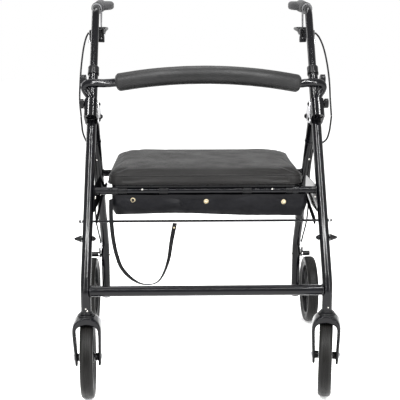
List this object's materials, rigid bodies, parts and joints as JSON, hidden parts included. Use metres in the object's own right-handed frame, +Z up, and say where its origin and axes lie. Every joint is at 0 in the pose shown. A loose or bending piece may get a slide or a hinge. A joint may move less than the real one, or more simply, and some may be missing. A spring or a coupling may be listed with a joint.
{
  "type": "rollator walker",
  "caption": "Folding steel rollator with swivelling front casters, loop brakes, height-adjustable handles, flip-up padded seat, under-seat pouch and curved padded backrest.",
  "frame": {"origin": "on the floor under the middle of the walker's outer box", "axes": "-Y is the front, where the casters are; +Y is where the user walks; +X is right as seen from the front; +Z is up"},
  "size_m": [0.72, 0.7386, 0.982],
  "materials": {
    "frame_black": "gloss black powder coat",
    "black_plastic": "satin moulded nylon",
    "rim_plastic": "satin moulded rim",
    "cable_black": "smooth cable housing",
    "grip_grey": "soft matt grip",
    "zinc_steel": "bright zinc plate",
    "tyre_black": "matt solid rubber",
    "foam": "closed-cell foam with a soft sheen",
    "vinyl": "grained upholstery vinyl",
    "nylon": "plain woven nylon",
    "webbing": "woven webbing"
  },
  "bodies": {
    "front_frame": {"front_cross_tube": "frame_black", "seat_front_tube": "frame_black", "cross_rod": "frame_black", "pouch": "nylon", "strap": "webbing", "front_leg_left": "frame_black", "front_leg_right": "frame_black", "handle_collar_left": "black_plastic", "handle_collar_right": "black_plastic", "top_bracket_left": "frame_black", "top_bracket_right": "frame_black", "pivot_plate_left": "zinc_steel", "pivot_plate_right": "zinc_steel", "side_plate_left": "frame_black", "side_plate_right": "frame_black", "frame_bolt_left": "black_plastic", "frame_bolt_right": "black_plastic", "cable_upper_left": "cable_black", "cable_upper_right": "cable_black"},
    "rear_frame": {"rear_cross_tube": "frame_black", "rear_leg_left": "frame_black", "rear_leg_right": "frame_black", "rear_axle_left": "zinc_steel", "rear_axle_right": "zinc_steel", "cable_lower_left": "cable_black", "cable_lower_right": "cable_black"},
    "seat": {"seat_pan": "black_plastic", "seat_pad": "vinyl"},
    "backrest": {"backrest_tube": "frame_black", "backrest_pad": "foam"},
    "front_links": {"front_link_left": "frame_black", "front_link_right": "frame_black"},
    "rear_links": {"rear_link_left": "frame_black", "rear_link_right": "frame_black"},
    "handle_left": {"handle_tube_left": "frame_black", "grip_left": "grip_grey", "brake_clamp_left": "black_plastic"},
    "lever_left": {"brake_lever_left": "black_plastic"},
    "brake_left": {"brake_arm_left": "black_plastic"},
    "caster_left": {"caster_fork_left": "frame_black", "front_axle_left": "zinc_steel"},
    "front_wheel_left": {"front_tyre_left": "tyre_black", "front_rim_left": "rim_plastic"},
    "rear_wheel_left": {"rear_tyre_left": "tyre_black", "rear_rim_left": "rim_plastic"},
    "height_knob_left": {"height_knob_left": "black_plastic"},
    "backrest_knob_left": {"backrest_knob_left": "black_plastic"},
    "handle_right": {"handle_tube_right": "frame_black", "grip_right": "grip_grey", "brake_clamp_right": "black_plastic"},
    "lever_right": {"brake_lever_right": "black_plastic"},
    "brake_right": {"brake_arm_right": "black_plastic"},
    "caster_right": {"caster_fork_right": "frame_black", "front_axle_right": "zinc_steel"},
    "front_wheel_right": {"front_tyre_right": "tyre_black", "front_rim_right": "rim_plastic"},
    "rear_wheel_right": {"rear_tyre_right": "tyre_black", "rear_rim_right": "rim_plastic"},
    "height_knob_right": {"height_knob_right": "black_plastic"},
    "backrest_knob_right": {"backrest_knob_right": "black_plastic"}
  },
  "joints": [
    {"name": "fold", "type": "hinge", "parent": "front_frame", "child": "rear_frame", "pos_m": [0, -0.01415, 0.672], "axis": [-1, 0, 0], "range_deg": [0, 26]},
    {"name": "front_link_turn", "type": "hinge", "parent": "front_frame", "child": "front_links", "pos_m": [0, -0.20505, 0.432], "axis": [1, 0, 0], "range_deg": [0, 28]},
    {"name": "rear_link_turn", "type": "hinge", "parent": "rear_frame", "child": "rear_links", "pos_m": [0, 0.12759, 0.46], "axis": [-1, 0, 0], "range_deg": [0, 28]},
    {"name": "seat_lift", "type": "hinge", "parent": "front_frame", "child": "seat", "pos_m": [0, -0.16141, 0.5005], "axis": [1, 0, 0], "range_deg": [0, 45]},
    {"name": "backrest_lift", "type": "slide", "parent": "front_frame", "child": "backrest", "axis": [0, 0.5373, 0.8434], "range_m": [0, 0.055]},
    {"name": "handle_height_left", "type": "slide", "parent": "front_frame", "child": "handle_left", "axis": [0, 0.5373, 0.8434], "range_m": [-0.114, 0.013], "deforming": ["cable_upper_left"]},
    {"name": "lever_squeeze_left", "type": "hinge", "parent": "handle_left", "child": "lever_left", "pos_m": [-0.2925, 0.14, 0.882], "axis": [1, 0, 0], "range_deg": [0, 11], "stiffness_Nm_per_rad": 1.2, "springref_deg": -8.59},
    {"name": "brake_arm_turn_left", "type": "hinge", "parent": "rear_frame", "child": "brake_left", "pos_m": [-0.2955, 0.268, 0.215], "axis": [-1, 0, 0], "range_deg": [0, 5]},
    {"name": "caster_swivel_left", "type": "hinge", "parent": "front_frame", "child": "caster_left", "pos_m": [-0.2925, -0.295, 0.2], "axis": [0, 0, 1], "continuous": true},
    {"name": "front_wheel_spin_left", "type": "hinge", "parent": "caster_left", "child": "front_wheel_left", "pos_m": [-0.29415, -0.26805, 0.10111], "axis": [0.9981, 0.061, 0], "continuous": true},
    {"name": "rear_wheel_spin_left", "type": "hinge", "parent": "rear_frame", "child": "rear_wheel_left", "pos_m": [-0.338, 0.268, 0.10111], "axis": [1, 0, 0], "continuous": true},
    {"name": "height_knob_turn_left", "type": "hinge", "parent": "front_frame", "child": "height_knob_left", "pos_m": [-0.2925, 0.00519, 0.762], "axis": [-1, 0, 0], "continuous": true},
    {"name": "backrest_knob_turn_left", "type": "hinge", "parent": "front_frame", "child": "backrest_knob_left", "pos_m": [-0.2925, -0.06428, 0.71066], "axis": [-1, 0, 0], "continuous": true},
    {"name": "handle_height_right", "type": "slide", "parent": "front_frame", "child": "handle_right", "axis": [0, 0.5373, 0.8434], "range_m": [-0.114, 0.013], "deforming": ["cable_upper_right"]},
    {"name": "lever_squeeze_right", "type": "hinge", "parent": "handle_right", "child": "lever_right", "pos_m": [0.2925, 0.14, 0.882], "axis": [1, 0, 0], "range_deg": [0, 11], "stiffness_Nm_per_rad": 1.2, "springref_deg": -8.59},
    {"name": "brake_arm_turn_right", "type": "hinge", "parent": "rear_frame", "child": "brake_right", "pos_m": [0.2955, 0.268, 0.215], "axis": [-1, 0, 0], "range_deg": [0, 5]},
    {"name": "caster_swivel_right", "type": "hinge", "parent": "front_frame", "child": "caster_right", "pos_m": [0.2925, -0.295, 0.2], "axis": [0, 0, 1], "continuous": true},
    {"name": "front_wheel_spin_right", "type": "hinge", "parent": "caster_right", "child": "front_wheel_right", "pos_m": [0.29742, -0.26845, 0.10111], "axis": [0.9833, -0.1822, 0], "continuous": true},
    {"name": "rear_wheel_spin_right", "type": "hinge", "parent": "rear_frame", "child": "rear_wheel_right", "pos_m": [0.338, 0.268, 0.10111], "axis": [1, 0, 0], "continuous": true},
    {"name": "height_knob_turn_right", "type": "hinge", "parent": "front_frame", "child": "height_knob_right", "pos_m": [0.2925, 0.00519, 0.762], "axis": [1, 0, 0], "continuous": true},
    {"name": "backrest_knob_turn_right", "type": "hinge", "parent": "front_frame", "child": "backrest_knob_right", "pos_m": [0.2925, -0.06428, 0.71066], "axis": [1, 0, 0], "continuous": true}
  ],
  "couplings": [
    {"joint": "front_link_turn", "follows": "fold", "ratio": 1.0434},
    {"joint": "rear_link_turn", "follows": "fold", "ratio": 1.057},
    {"joint": "brake_arm_turn_left", "follows": "lever_squeeze_left", "ratio": 0.454},
    {"joint": "brake_arm_turn_right", "follows": "lever_squeeze_right", "ratio": 0.454}
  ]
}
